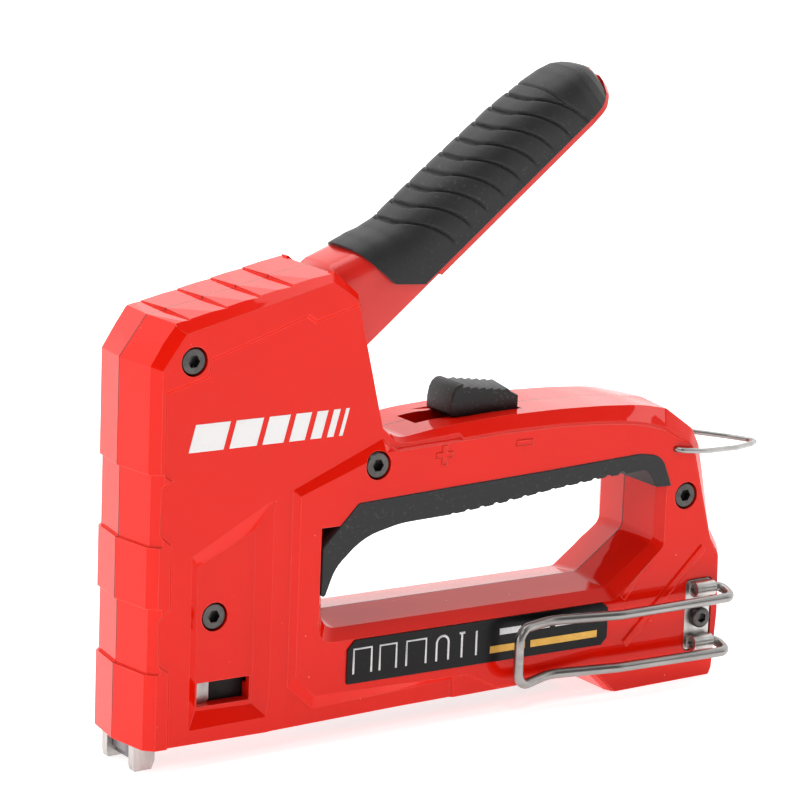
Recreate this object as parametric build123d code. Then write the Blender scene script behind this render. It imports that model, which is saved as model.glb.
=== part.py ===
"""Hand staple gun (tacker) with a two-piece cast housing, as separate pieces.

Everything is drawn square to the housing: X runs back from the staple exit, Y runs across with
the screw side at -Y, and Z runs up along the driver blade. The last step turns every piece by
the small angle at which the tool stands on its nose tips and heel. Sizes are in millimetres.
"""
from build123d import *
import math
import os

os.makedirs("parts", exist_ok=True)

# Driving dimensions -----------------------------------------------------------------------------
stand_angle = 1.1          # how far the housing leans back when it stands on nose and heel
housing_half = 14.9        # half width over the head's border
handle_half = 15.5         # half width over the raised handle and lower bar
shoulder_half = 12.5       # half width where the edge bevel starts
panel_depth = 0.9          # how far the head panel lies under its border
panel_draft = 42.0         # slope of the wall between panel and border, in degrees
cavity_half = 9.8          # half width of the hollow inside the head
wall_front = 3.4           # front wall
nose_ridge = -5.3          # x of the vertical ridge on the front
head_top = 128.0           # z of the head's rear top edge
top_rear = 50.0            # x of that edge
top_front = (2.2, 118.05)  # x and z where the head's top starts
front_top = 107.75         # z where the front face ends
bar_top = 33.85            # z of the finger opening's floor at the seam
beam_top = 84.2            # z of the grip beam's crown
base_clear = 7.0           # height of the lower edge above the nose tips

pivot_x = 46.0             # lever pivot
pivot_z = 98.0
pin_radius = 3.0
running_gap = 0.05         # radial clearance of a running fit
lever_angle = 38.5         # rest angle of the lever
lever_half = 9.5           # half width of the lever's neck
grip_half = 11.2           # half width of the moulded grip
lever_under = 3.8          # lower edge under the pivot, square to the lever
sheet = 1.8                # lever sheet thickness

lever_swing = 38.0         # how far the lever turns
lug_reach = 24.0           # from the pivot forward to the striker's lugs
lug_radius = 2.5
lug_play = 0.25            # play of a lug in its fork, radial
carrier_low = 46.0
carrier_high = 80.0

crown_width = 11.3         # outer width of a staple
leg_length = 10.0
staple_wire = 0.7
blade_thick = 1.2

screw_radius = 2.0
screw_head_radius = 3.6
screw_head_height = 3.2
screw_gap = 0.1
bracket_screw_radius = 1.5

wire_hook = 1.35           # radius of the belt hook's wire
wire_bail = 0.75           # radius of the lock bail's wire

spring_x = 8.0             # main spring
spring_mean = 5.2
spring_wire = 0.9
seat_z = 100.0             # seat that the main spring works against
seat_thick = 2.8

bail_x, bail_z = 161.3, 69.9                     # holes of the lock bail
window = (13.0, 28.7, 15.9, 22.3)                # x from, x to, z from, z to
bracket_recess = (167.4, 176.6, 11.2, 31.9)      # x from, x to, z from, z to
recess_depth = 1.5
bracket_x, bracket_z = 172.2, 20.8
knuckles = (29.3, 13.8)                          # z of the hook's two ends

# Screw places on the housing: x, z, and the face that each counterbore starts from
screw_places = [
    (8.1, 108.15, housing_half),
    (17.8, 39.55, 11.6),
    (64.0, 75.55, handle_half),
    (165.7, 56.25, handle_half),
]
boss_radius = 5.2


# Helpers ----------------------------------------------------------------------------------------
def ring(points, y, radius):
    """Closed wire through (x, z) points at one y, with rounded corners."""
    return Wire(FilletPolyline(*[(x, y, z) for x, z in points], radius=radius, close=True).edges())


def shell(rings):
    """Solid through rings, each given as (points, y, radius)."""
    return Solid.make_loft([ring(*r) for r in rings], ruled=True)


def prism(points, y_low, y_high, radius=0.0):
    """Straight prism along Y from an (x, z) outline."""
    face = Face(ring(points, y_low, radius))
    return Solid.extrude(face, Vector(0, y_high - y_low, 0))


def rectangle(x_low, x_high, z_low, z_high):
    return [(x_low, z_low), (x_high, z_low), (x_high, z_high), (x_low, z_high)]


def plan(points, z_low, z_high):
    """Straight prism along Z from an (x, y) outline."""
    face = Face(Wire.make_polygon([(x, y, z_low) for x, y in points], close=True))
    return Solid.extrude(face, Vector(0, 0, z_high - z_low))


def box(x_low, x_high, y_low, y_high, z_low, z_high):
    corner = Plane(origin=(x_low, y_low, z_low))
    return Solid.make_box(x_high - x_low, y_high - y_low, z_high - z_low, corner)


def rod(start, end, radius):
    """Cylinder between two points."""
    axis = Vector(*end) - Vector(*start)
    return Solid.make_cylinder(radius, axis.length, Plane(origin=start, z_dir=axis))


def rod_y(x, z, y_low, y_high, radius):
    return rod((x, y_low, z), (x, y_high, z), radius)


def tube(start, end, outer, inner):
    return rod(start, end, outer) - rod(start, end, inner)


def coil(start, axis, radius, wire, turns, length):
    """Round-wire helix along an axis."""
    path = Helix(pitch=length / turns, height=length, radius=radius, center=start, direction=axis)
    section = Plane(origin=path @ 0, z_dir=path % 0) * Circle(wire)
    return sweep(section, path=path)


def bent_wire(points, radius, bends):
    path = FilletPolyline(*points, radius=bends)
    section = Plane(origin=path @ 0, z_dir=path % 0) * Circle(radius)
    return sweep(section, path=path)


def mirrored(shape):
    return mirror(shape, about=Plane.XZ)


def on_lever(s, t):
    """Point at distance s along the lever and t above its line, as (x, z)."""
    c, n = math.cos(math.radians(lever_angle)), math.sin(math.radians(lever_angle))
    return pivot_x + s * c - t * n, pivot_z + s * n + t * c


def hex_prism(x, z, y_low, y_high, flats):
    corner = flats / math.sqrt(3)
    points = [(x + corner * math.cos(math.radians(60 * i)),
               z + corner * math.sin(math.radians(60 * i))) for i in range(6)]
    return prism(points, y_low, y_high)


# Housing ----------------------------------------------------------------------------------------
# Each corner: (x, z) at the seam, then how far the shoulder and the side move it, then its radius
bevel = 2.6                # edge bevel on head and handle

outline = [
    ((nose_ridge, base_clear - 3.0), (1.9, 0.0), (4.4, 0.0), 0.4),
    ((nose_ridge, front_top), (1.9, -0.3), (4.4, -1.2), 0.4),
    (top_front, (1.0, -0.3), (3.5, -bevel), 0.4),
    ((top_rear, head_top), (0.0, -0.3), (-1.5, -bevel), 0.5),
    ((58.3, 121.4), (-0.6, -0.3), (-2.0, -1.4), 0.6),
    ((66.8, 84.6), (-0.6, 0.2), (-1.3, 0.6), 3.0),
    ((71.5, 81.4), (0.0, 0.0), (-1.5, -2.0), 8.0),
    ((86.0, 83.2), (0.0, 0.1), (0.0, -3.2), 90.0),
    ((105.0, beam_top), (0.0, 0.1), (0.0, -3.3), 150.0),
    ((124.0, beam_top), (0.0, 0.1), (0.0, -3.3), 150.0),
    ((138.0, 83.7), (0.0, 0.1), (0.0, -3.6), 120.0),
    ((151.5, 82.8), (0.0, 0.0), (-1.0, -4.0), 60.0),
    ((160.5, 81.6), (-1.0, -0.6), (-2.6, -5.2), 3.0),
    ((169.8, 75.0), (-1.0, -0.6), (-3.5, -3.4), 3.0),
    ((172.6, 69.5), (-1.2, 0.0), (-4.2, -1.0), 2.0),
    ((178.0, 45.0), (-1.2, 0.0), (-2.6, -2.0), 2.0),
    ((181.0, 39.5), (-1.0, 0.0), (-2.4, -1.6), 3.0),
    ((181.4, 21.0), (-1.0, 0.0), (-2.2, 0.0), 20.0),
    ((180.4, 4.6), (-1.0, 0.0), (-2.2, 0.6), 2.0),
    ((176.5, -1.0), (0.0, 0.0), (-0.8, 0.0), 0.4),
    ((147.0, -1.0), (0.0, 0.0), (1.0, 0.0), 0.4),
    ((136.3, base_clear + 2.0), (0.0, 0.0), (0.4, 0.4), 1.0),
    ((74.0, base_clear + 1.1), (0.0, 0.0), (0.0, 0.2), 50.0),
    ((34.0, base_clear), (0.0, 0.0), (0.0, 0.2), 20.0),
]

# The raised field behind the head: (x, z) at its foot, the step to its top edge, and the radius
raised = [
    ((46.8, 11.5), (-0.6, 3.8), 0.3),
    ((38.9, 18.4), (1.6, 2.9), 0.3),
    ((38.9, 71.4), (1.6, -1.6), 0.3),
    ((66.0, 82.4), (0.0, -3.6), 0.4),
    ((70.0, 79.4), (0.4, -0.6), 2.0),
    ((86.0, 80.0), (0.0, -0.7), 60.0),
    ((105.0, 80.9), (0.0, -0.8), 120.0),
    ((124.0, 80.9), (0.0, -0.8), 120.0),
    ((138.0, 80.1), (0.0, -0.8), 90.0),
    ((150.5, 78.8), (0.0, -0.9), 60.0),
    ((157.9, 76.4), (-0.5, -0.9), 3.0),
    ((166.3, 71.6), (-0.7, -0.6), 3.0),
    ((168.4, 68.5), (-0.8, -0.2), 2.0),
    ((175.4, 43.0), (-0.8, -0.2), 2.0),
    ((178.6, 37.9), (-0.7, -0.3), 3.0),
    ((179.2, 21.0), (-0.7, 0.0), 20.0),
    ((178.2, 5.2), (-0.7, 0.3), 2.0),
    ((175.7, -1.0), (-0.4, 0.0), 0.4),
    ((148.0, -1.0), (0.3, 0.0), 0.4),
    ((136.7, base_clear + 2.4), (0.2, 0.5), 1.0),
    ((104.5, base_clear + 1.9), (0.2, 0.5), 1.0),
    ((95.0, 13.6), (0.2, 0.9), 2.0),
]

head_panel = [
    (3.4, -5.0), (3.4, 27.4), (0.4, 29.6), (-0.4, 40.8), (3.4, 43.6), (3.1, 61.1), (-0.3, 64.1),
    (0.1, 75.8), (3.4, 77.6), (0.9, 79.4), (0.9, 100.3), (12.9, 103.5), (13.7, 107.8),
    (41.4, 116.6), (43.9, 114.9), (60.0, 119.0), (90.0, 119.0), (90.0, -5.0),
]

# Finger opening: corners at seam, shoulder and side, clockwise from the floor's front
opening_seam = [(50.2, bar_top), (140.6, bar_top), (155.8, 44.9), (155.8, 60.6), (50.2, 60.6)]
opening_shoulder = [(49.4, bar_top - 1.65), (141.6, bar_top - 1.65), (157.1, 43.6), (157.1, 60.6),
                    (49.4, 60.6)]
opening_side = [(47.0, bar_top - 4.6), (142.6, bar_top - 4.6), (158.9, 42.4), (158.9, 60.6),
                (47.0, 60.6)]
opening_rounds = [4.5, 3.5, 3.5, 0.0, 0.0]

# The soft liner: its back against the housing and its face to the fingers
liner_back = [
    (47.4, 41.9), (47.6, 55.4), (58.2, 66.1), (86.6, 67.3), (118.9, 68.5), (149.0, 69.9),
    (156.6, 68.6), (160.2, 59.7),
]
liner_back_rounds = [0.6, 1.0, 1.0, 150.0, 150.0, 6.0, 6.0, 0.4]
liner_face = [
    (155.1, 59.9), (152.0, 65.2), (136.2, 64.4), (119.6, 63.0), (103.3, 61.1), (87.3, 59.8),
    (71.5, 59.3), (59.8, 56.8), (51.4, 49.4), (48.6, 42.3),
]
liner_face_rounds = [0.4, 3.0, 60.0, 80.0, 80.0, 60.0, 30.0, 20.0, 12.0, 0.4]
liner_proud = 0.3
liner_gap = 0.02

head_cavity = [
    (nose_ridge + wall_front, 20.0), (nose_ridge + wall_front, seat_z + seat_thick + 0.1),
    (15.6, seat_z + seat_thick + 0.1), (15.6, 113.5), (20.0, 116.5), (47.5, 122.6), (60.0, 117.4),
    (61.5, 90.5), (47.0, 86.0), (37.0, 70.0), (33.5, 20.0),
]
slot_cut = [(49.6, 140.0), (49.6, 110.0), (52.0, 91.4), (76.0, 91.4), (76.0, 140.0)]
column_cavity = [(160.8, 46.5), (171.5, 46.5), (166.5, 66.5), (163.4, 66.5)]
beam_cavity = [(74.5, 71.4), (151.0, 73.2), (151.0, 79.6), (124.0, 81.2), (105.0, 81.2),
               (82.0, 79.9), (75.5, 79.9), (74.5, 78.6)]

rib_lines = [((154.2, 40.0), (145.2, 29.6)), ((172.6, 40.8), (146.8, 16.2))]
front_steps = [(27.2, 44.55), (60.75, 79.6)]
step_depth = 0.8
tile_edges = [7.8, 18.5, 28.3, 37.9, 49.8]
tile_rise = 0.75

magazine_half = 8.0        # half width of the magazine tunnel
magazine_low = 7.4
magazine_high = 22.4
slot_half = 4.5            # power slide slot
slot_front = 82.2
slot_rear = 113.0
button_half = 6.0
ledge_z = 83.35            # flat that the power button slides over
nose_half = 8.6
loading_half = 6.2         # slot under the bar that staples drop in through
loading_end = 133.0
cap_front = 177.2          # rear thumb cap, sunk in the heel
cap_rear = 183.4
cap_half = 7.4
cap_low, cap_high = 8.2, 22.0
cap_gap = 0.3
bumper_low = 44.8          # top of the ledges that carry the striker's stop


def outline_ring(column, y):
    points = []
    for corner in outline:
        x, z = corner[0]
        dx, dz = corner[column] if column else (0.0, 0.0)
        points.append((x + dx, z + dz))
    return points, y, [corner[3] for corner in outline]


def raised_ring(step, y):
    points = [(x + step * dx, z + step * dz) for (x, z), (dx, dz), r in raised]
    return points, y, [corner[2] for corner in raised]


def front_step(z_low, z_high):
    """Band that sets one block of the front back from its neighbours."""
    edge = nose_ridge + step_depth
    points = [(edge - 12, 0.5), (edge, 0.5), (edge, 0.0), (edge + 1.9, -shoulder_half),
              (edge + 4.9, -housing_half - 0.2), (edge + 4.9, -20), (edge - 12, -20)]
    return plan(points, z_low, z_high)


def top_tile(x_low, x_high):
    """Wedge over one tile of the head's top: each tile starts with a step up."""
    slope = (head_top - top_front[1]) / (top_rear - top_front[0])
    z_low = top_front[1] + slope * (x_low - top_front[0])
    z_high = top_front[1] + slope * (x_high - top_front[0])
    points = [(x_low, z_low), (x_high, z_high - tile_rise), (x_high, z_high + 6),
              (x_low, z_low + 6)]
    return prism(points, -20, 0.5)


def corner_facet():
    """Three-sided facet on the front top corner."""
    a = Vector(nose_ridge, 0, front_top)
    b = Vector(3.8, -12.0, 118.0)
    c = Vector(-3.5, -shoulder_half - 0.4, front_top + 0.3)
    normal = (b - a).cross(c - a).normalized()
    if normal.Z < 0:
        normal = normal * -1
    facet = Plane(origin=a, x_dir=(b - a), z_dir=normal)
    return extrude(facet * Rectangle(80, 80), amount=20)


def screw_recess():
    """Sloped recess in the head's lower side, around the second screw and the window."""
    outer = [(9.3, 10.7), (32.6, 11.2), (33.4, 17.5), (33.4, 69.6), (9.3, 57.0)]
    inner = [(12.6, 15.0), (29.3, 14.6), (29.6, 20.0), (29.4, 61.4), (12.3, 53.5)]
    return shell([(inner, -11.6, 0.3), (outer, -housing_half + panel_depth, 0.3),
                  (outer, -housing_half - 1, 0.3)])


def rib(points, height):
    """Low slanted rib on the handle side, given by its centre line."""
    (x1, z1), (x2, z2) = points
    run = math.hypot(x2 - x1, z2 - z1)
    nx, nz = -(z2 - z1) / run, (x2 - x1) / run
    low = [(x1 + nx * 1.5, z1 + nz * 1.5), (x2 + nx * 1.5, z2 + nz * 1.5),
           (x2 - nx * 1.5, z2 - nz * 1.5), (x1 - nx * 1.5, z1 - nz * 1.5)]
    top = [(x1 + nx * 0.8, z1 + nz * 0.8), (x2 + nx * 0.8, z2 + nz * 0.8),
           (x2 - nx * 0.8, z2 - nz * 0.8), (x1 - nx * 0.8, z1 - nz * 0.8)]
    return shell([(low, -handle_half + 0.3, 0.2), (low, -handle_half, 0.2),
                  (top, -handle_half - height, 0.2)])


def base_cut(x_high):
    """Everything under the line through the nose tips and the heel."""
    rise = math.tan(math.radians(stand_angle))
    points = [(-30, -30 * rise), (x_high, x_high * rise), (x_high, -40), (-30, -40)]
    return prism(points, -40, 40)


def housing_blank():
    """The left half before its own openings: outside shape and hollows."""
    body = shell([outline_ring(0, 0.0), outline_ring(1, -shoulder_half),
                  outline_ring(2, -housing_half)])
    body -= box(-10, 137, -30, 1, -5, base_clear)
    body -= corner_facet()
    for x_low, x_high in zip([top_front[0]] + tile_edges[:-1], tile_edges):
        body -= top_tile(x_low, x_high)
    for z_low, z_high in front_steps:
        body -= front_step(z_low, z_high)
    panel = Face(ring(head_panel, -housing_half + panel_depth, 0.0))
    body -= extrude(panel, amount=panel_depth + 0.4, dir=(0, -1, 0), taper=-panel_draft)
    body += shell([raised_ring(0, -housing_half + 2.0), raised_ring(0, -housing_half + panel_depth),
                   raised_ring(1, -handle_half)])
    for ends in rib_lines:
        body += rib(ends, 0.5)
    body -= shell([(opening_seam, 1.0, opening_rounds), (opening_seam, 0.0, opening_rounds),
                   (opening_shoulder, -shoulder_half, opening_rounds),
                   (opening_side, -handle_half, opening_rounds),
                   (opening_side, -handle_half - 2, opening_rounds)])
    liner_hole = prism(liner_back + [(155.3, 59.8), (150.0, 50.0), (60.0, 38.0)], -20, 1,
                       liner_back_rounds + [0.0, 0.0, 0.0])
    body -= liner_hole
    return body - screw_recess()


def hollow(body):
    """Hollows inside one half, cut on the left side and mirrored for the other."""
    for points, depth in ((head_cavity, cavity_half), (column_cavity, cavity_half),
                          (beam_cavity, 6.0)):
        body -= prism(points, -depth, 1, 1.0)
    body -= prism(slot_cut, -lever_half - 0.5, 1, 0.0)
    body -= box(nose_ridge + wall_front, 185, -magazine_half, 1, magazine_low, magazine_high)
    body -= box(nose_ridge + wall_front, 7.6, -nose_half, 1, -1, magazine_high + 0.2)
    body -= box(7.0, loading_end, -loading_half, 1, -1, magazine_low + 0.5)
    body -= box(cap_front - cap_gap, 190, -cap_half - cap_gap, 1, cap_low - cap_gap,
                cap_high + cap_gap)
    body += box(nose_ridge + 3.0, 16.0, -cavity_half - 0.5, -6.2, 40.0, bumper_low)
    body -= box(slot_front, slot_rear, -slot_half, 1, 78, 90)
    body -= box(slot_front, slot_rear + 1.6, -button_half - 1.3, 1, ledge_z, 90)
    body += rod_y(8.1, 108.15, -housing_half + 1.5, 0, boss_radius)
    body += rod_y(17.8, 39.55, -11.0, 0, boss_radius)
    body -= rod_y(pivot_x, pivot_z, -cavity_half - 2.7, 1, pin_radius + 0.02)
    return body


def bore_bail(body):
    return body - rod_y(bail_x, bail_z, -20, -10.9, wire_bail + running_gap)


def left_half():
    body = bore_bail(hollow(housing_blank()))
    for x, z, face_y in screw_places:
        body -= rod_y(x, z, -face_y - 1, -face_y + screw_head_height + 0.5,
                      screw_head_radius + 0.25)
        body -= rod_y(x, z, -face_y, 1, screw_radius + screw_gap)
    x_low, x_high, z_low, z_high = window
    body -= box(x_low, x_high, -20, -5, z_low, z_high)
    body -= prism(rectangle(*bracket_recess), -20, -handle_half + recess_depth, 1.6)
    body -= rod_y(bracket_x, bracket_z, -20, -9.0, bracket_screw_radius + 0.05)
    return body - base_cut(220)


def right_half():
    body = mirrored(bore_bail(hollow(housing_blank())))
    for x, z, face_y in screw_places:
        body -= rod_y(x, z, -1, 20, screw_radius + screw_gap)
        body -= hex_prism(x, z, nut_seat(face_y), 20, 7.2)
    return body - base_cut(220)


def nut_seat(face_y):
    return face_y - 3.6


# Fasteners --------------------------------------------------------------------------------------
def socket_screw(x, z, face_y):
    top = -face_y + 0.4
    head = rod_y(x, z, top, top + screw_head_height, screw_head_radius)
    head = chamfer(head.edges().filter_by(GeomType.CIRCLE).sort_by(Axis.Y)[0], 0.4)
    shank_end = nut_seat(face_y) + 2.6
    body = head + rod_y(x, z, top + 1, shank_end, screw_radius)
    return body - hex_prism(x, z, top - 1, top + 2.0, 3.0)


def hex_nut(x, z, face_y):
    seat = nut_seat(face_y)
    return hex_prism(x, z, seat, seat + 3.0, 7.0) - rod_y(x, z, seat - 1, seat + 4, screw_radius)


# Lever ------------------------------------------------------------------------------------------
lever_low = -lever_under
hub_radius = 8.6
arm_inner, arm_outer = 7.7, 9.5
lever_side = [
    (0.0, lever_low), (111.0, lever_low), (116.8, -1.4), (118.6, 2.2), (117.6, 5.2),
    (112.0, 7.4), (100.0, 9.4), (76.0, 11.4), (50.0, 11.6), (44.0, 12.4), (33.0, 16.4),
    (24.6, 19.2), (20.6, 18.6), (14.0, 13.0), (0.0, 9.0),
]
lever_side_rounds = [0.5, 6.0, 3.0, 3.0, 3.0, 8.0, 40.0, 60.0, 10.0, 10.0, 10.0, 3.0, 2.0, 4.0, 2.0]
grip_side = [
    (42.0, -2.8), (46.6, -2.2), (112.0, -2.2), (115.6, -0.2), (117.4, 3.4), (115.9, 7.6),
    (112.0, 10.2), (102.5, 12.0), (90.0, 13.2), (64.0, 14.0), (46.0, 14.0), (41.0, 15.0),
    (36.0, 16.8), (31.6, 18.6), (28.6, 17.8), (33.6, 3.9),
]
grip_side_rounds = [0.5, 1.0, 5.0, 2.0, 2.5, 3.0, 8.0, 20.0, 40.0, 60.0, 10.0, 5.0, 5.0, 1.2, 1.0,
                    3.0]


# Crown of the lever and of its grip: share of the half width, and how far the top sinks there,
# then the height of the top at places along the lever
lever_crown = [(1.0, 6.0), (0.95, 3.4), (0.84, 1.5), (0.66, 0.4), (0.45, 0.0)]
lever_tops = [(-12.0, 19.3), (24.0, 19.3), (34.0, 16.1), (43.0, 12.7), (50.0, 11.65), (76.0, 11.45),
              (100.0, 9.45), (112.0, 7.5), (122.0, 5.0)]
grip_crown = [(1.0, 9.6), (0.965, 6.2), (0.87, 3.3), (0.7, 1.5), (0.45, 0.5), (0.2, 0.0)]
grip_tops = [(20.0, 23.0), (36.0, 16.9), (41.0, 15.1), (46.0, 14.1), (64.0, 14.1), (90.0, 13.3),
             (102.5, 12.1), (112.0, 10.3), (122.0, 7.0)]


def lever_profile(points):
    return [on_lever(s, t) for s, t in points]


def crowned(tops, half, crown, lower=0.0):
    """Tunnel along the lever whose roof sinks towards both sides, given as (s, roof height)."""
    sections = []
    for s, top in tops:
        side = [(half * share, top - lower - drop) for share, drop in crown]
        corners = [(half, -12)] + side + [(-y, t) for y, t in reversed(side)] + [(-half, -12)]
        placed = [(on_lever(s, t)[0], y, on_lever(s, t)[1]) for y, t in corners]
        sections.append(Wire.make_polygon(placed, close=True))
    return Solid.make_loft(sections, ruled=True)


def tip_plan(half, end):
    """Rounded plan outline of the lever's end, over its whole height."""
    right = [(end - 13.0, half), (end - 8.5, half - 0.5), (end - 5.5, half - 1.5),
             (end - 3.0, half - 3.2), (end - 1.2, half - 5.2), (end, half - 8.2)]
    left = [(x, -y) for x, y in reversed(right)]
    outline_points = [(-20, 40), (end - 13, 40)] + right + left + [(end - 13, -40), (-20, -40)]
    face = Face(Wire.make_polygon([(x, y, -30) for x, y in outline_points], close=True))
    tunnel = Solid.extrude(face, Vector(0, 0, 70))
    return Pos(pivot_x, 0, pivot_z) * (Rot(0, -lever_angle, 0) * tunnel)


def lever_arm(side):
    """Forked arm that reaches forward and holds one lug of the striker."""
    y_low, y_high = sorted((side * arm_inner, side * arm_outer))
    rest = math.radians(lever_swing / 2)
    c, n = -math.cos(rest), -math.sin(rest)
    tip = lug_reach / math.cos(rest) + lug_radius + 0.5

    def corner(s, t):
        return pivot_x + s * c + t * n, pivot_z + s * n - t * c

    half = lug_radius + lug_play + 2.4
    slot = lug_radius + lug_play
    arm = prism([corner(0, half + 1.5), corner(0, -half - 1.5), corner(tip, -half),
                 corner(tip, half)], y_low, y_high, 1.2)
    arm += rod_y(pivot_x, pivot_z, y_low, y_high, hub_radius)
    fork = prism([corner(lug_reach - slot - 0.6, -slot), corner(tip + 3, -slot),
                  corner(tip + 3, slot), corner(lug_reach - slot - 0.6, slot)],
                 y_low - 1, y_high + 1, [2.0, 0.0, 0.0, 2.0])
    return arm - fork


def lever_blank():
    blank = prism(lever_profile(lever_side), -lever_half, lever_half, lever_side_rounds)
    return blank & crowned(lever_tops, lever_half, lever_crown)


def lever_frame():
    outer = lever_blank()
    inner = []
    for s, t in lever_side:
        inner.append((s - 2.4 * sheet if s > 100 else s, t - sheet if t > 0 else t - 6))
    inner[0], inner[-1] = (-12.0, lever_low - 6), (-12.0, 9.0 - sheet)
    inner_half = lever_half - sheet
    hollow_part = prism(lever_profile(inner), -inner_half, inner_half)
    hollow_part &= crowned(lever_tops, inner_half, lever_crown, sheet)
    rim = [(46.0, lever_low), (112.0, lever_low), (116.6, -2.6), (118.4, 0.2), (118.4, 2.2),
           (117.5, 1.0), (115.0, -1.6), (112.0, -2.25), (46.0, -2.25)]
    flare = prism(lever_profile(rim), -grip_half + 0.2, grip_half - 0.2, 0.3)
    body = (outer & tip_plan(lever_half + 0.2, 118.0)) + (flare & tip_plan(grip_half - 0.2, 118.6))
    body -= hollow_part
    for side in (-1, 1):
        body += lever_arm(side)
    return body - rod_y(pivot_x, pivot_z, -20, 20, pin_radius + running_gap)


def lever_grip():
    blank = prism(lever_profile(grip_side), -grip_half, grip_half, grip_side_rounds)
    blank &= crowned(grip_tops, grip_half, grip_crown)
    blank &= tip_plan(grip_half, 117.4)
    return blank - lever_frame()


# Striker ----------------------------------------------------------------------------------------
block_front, block_rear = blade_thick / 2, 15.4
block_half = 7.2
lug_x = pivot_x - lug_reach
lug_z = pivot_z - lug_reach * math.tan(math.radians(lever_swing / 2))
bore_radius = spring_mean + spring_wire + 0.3


def striker_carrier():
    """Block with a blind bore for the main spring and two lugs that the lever lifts."""
    body = box(block_front, block_rear, -block_half, block_half, carrier_low, carrier_high)
    body += prism([(block_rear, 58.0), (block_rear, carrier_high), (lug_x - 3.4, lug_z + 3.4),
                   (lug_x + 3.4, lug_z + 3.4), (lug_x + 3.4, lug_z - 3.4)], -6.0, 6.0,
                  [0.0, 0.0, 1.5, 2.5, 2.5])
    body += rod_y(lug_x, lug_z, -arm_outer + 0.2, arm_outer - 0.2, lug_radius)
    bore = rod((spring_x, 0, carrier_low + 3), (spring_x, 0, carrier_high + 20), bore_radius)
    return body - bore


def driver_blade():
    half = (crown_width - 0.3) / 2
    points = [(-half, 1.2), (half, 1.2), (half, 66.0), (half - 1.5, 68.0), (-half + 1.5, 68.0),
              (-half, 66.0)]
    face = Face(Wire.make_polygon([(-blade_thick / 2, y, z) for y, z in points], close=True))
    blade = Solid.extrude(face, Vector(blade_thick, 0, 0))
    for z in rivet_heights:
        blade -= rod((-2, 0, z), (2, 0, z), 1.5)
    return blade


rivet_heights = (52.0, 60.0)


def blade_rivets():
    """Rivets through the blade into the block, flush in front."""
    return [rod((-blade_thick / 2, 0, z), (block_front, 0, z), 1.5) for z in rivet_heights]


# Magazine ---------------------------------------------------------------------------------------
channel_front, channel_rear = 8.2, 170.0
channel_half = 7.6
channel_sheet = 1.0
strip_front, strip_length = 0.75, 60.0
crown_top = 20.6
rail_half = 4.7


def magazine_channel():
    """Steel channel, open below, that guides the staples from outside."""
    outer = box(channel_front, channel_rear, -channel_half, channel_half, 8.0, 22.2)
    inner = box(channel_front - 1, channel_rear + 1, -channel_half + channel_sheet,
                channel_half - channel_sheet, 7.0, 22.2 - channel_sheet)
    body = outer - inner
    for x in (40.0, 80.0, 120.0):
        body -= rod((x, 0, 20), (x, 0, 24), 2.0)
    return body


def staple_strip():
    """A row of glued staples, legs down."""
    half = crown_width / 2
    outer = box(strip_front, strip_front + strip_length, -half, half, crown_top - leg_length,
                crown_top)
    inner = box(strip_front - 1, strip_front + strip_length + 1, -half + staple_wire,
                half - staple_wire, crown_top - leg_length - 1, crown_top - staple_wire)
    return outer - inner


def magazine_rail():
    """Inner rail that the staples ride on, drawn out backwards to load."""
    top = crown_top - staple_wire - 0.25
    outer = box(1.6, cap_front, -rail_half, rail_half, 10.0, top)
    inner = box(0.0, cap_front - 3, -rail_half + 1.0, rail_half - 1.0, 9.0, top - 1.0)
    slot = box(8.0, cap_front - 12, -1.3, 1.3, top - 2, top + 1)
    return outer - inner - slot - rod((170, 0, rod_z), (190, 0, rod_z), rod_radius)


def end_cap():
    """Thumb piece at the rear end of the magazine."""
    block = box(cap_front, cap_rear, -cap_half, cap_half, cap_low, cap_high)
    block = fillet(block.edges().filter_by(Axis.Y).group_by(Axis.X)[-1], 1.6)
    grooves = [box(cap_rear - 0.5, cap_rear + 1, -cap_half, cap_half, z, z + 1.0)
               for z in (11.0, 13.4, 15.8, 18.2)]
    for groove in grooves:
        block -= groove
    return block


rod_z = 14.6
rod_radius = 1.4


def pusher_rod():
    return rod((70.0, 0, rod_z), (cap_front, 0, rod_z), rod_radius)


pusher_front = strip_front + strip_length + 0.1
pusher_length = 16.0


def staple_pusher():
    """Block that straddles the rail and pushes the last staple."""
    top = crown_top
    inner_top = crown_top - staple_wire - 0.1
    outer = box(pusher_front, pusher_front + pusher_length, -crown_width / 2, crown_width / 2,
                11.4, top)
    saddle = box(pusher_front - 1, pusher_front + pusher_length + 1, -rail_half - 0.15,
                 rail_half + 0.15, 9.0, inner_top)
    post = box(pusher_front + 9.5, pusher_front + 14.0, -1.1, 1.1, 17.4, inner_top + 0.2)
    foot = box(pusher_front + 9.5, pusher_front + 14.0, -3.2, 3.2, 11.0, 17.6)
    body = outer - saddle + post + foot
    return body - rod((60, 0, rod_z), (100, 0, rod_z), rod_radius + running_gap)


def pusher_spring():
    start = pusher_front + 14.3
    length = cap_front - 3.4 - start
    return coil((start, 0, rod_z), (1, 0, 0), 2.3, 0.3, 26, length)


# Nose -------------------------------------------------------------------------------------------
def nose_guide():
    """Steel guide around the staple exit, with a tip at each side that meets the work."""
    plate = box(0.75, 7.4, -8.4, 8.4, 8.0, 10.2)
    tips = []
    for side in (-1, 1):
        points = [(-2.7, -1.0), (1.6, -1.0), (2.9, 2.4), (2.9, base_clear - 0.2),
                  (-3.4, base_clear - 0.2), (-3.4, 1.4)]
        low, high = sorted((side * 5.75, side * 8.3))
        tip = prism(points, low, high, 0.3)
        tip += box(nose_ridge + wall_front + 0.1, 2.9, low, high, base_clear - 1, 21.8)
        tips.append(tip)
    body = plate + tips[0] + tips[1]
    body -= box(0.0, 8, -rail_half - 1.2, rail_half + 1.2, 7.5, 23)
    return body - base_cut(30)


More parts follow.
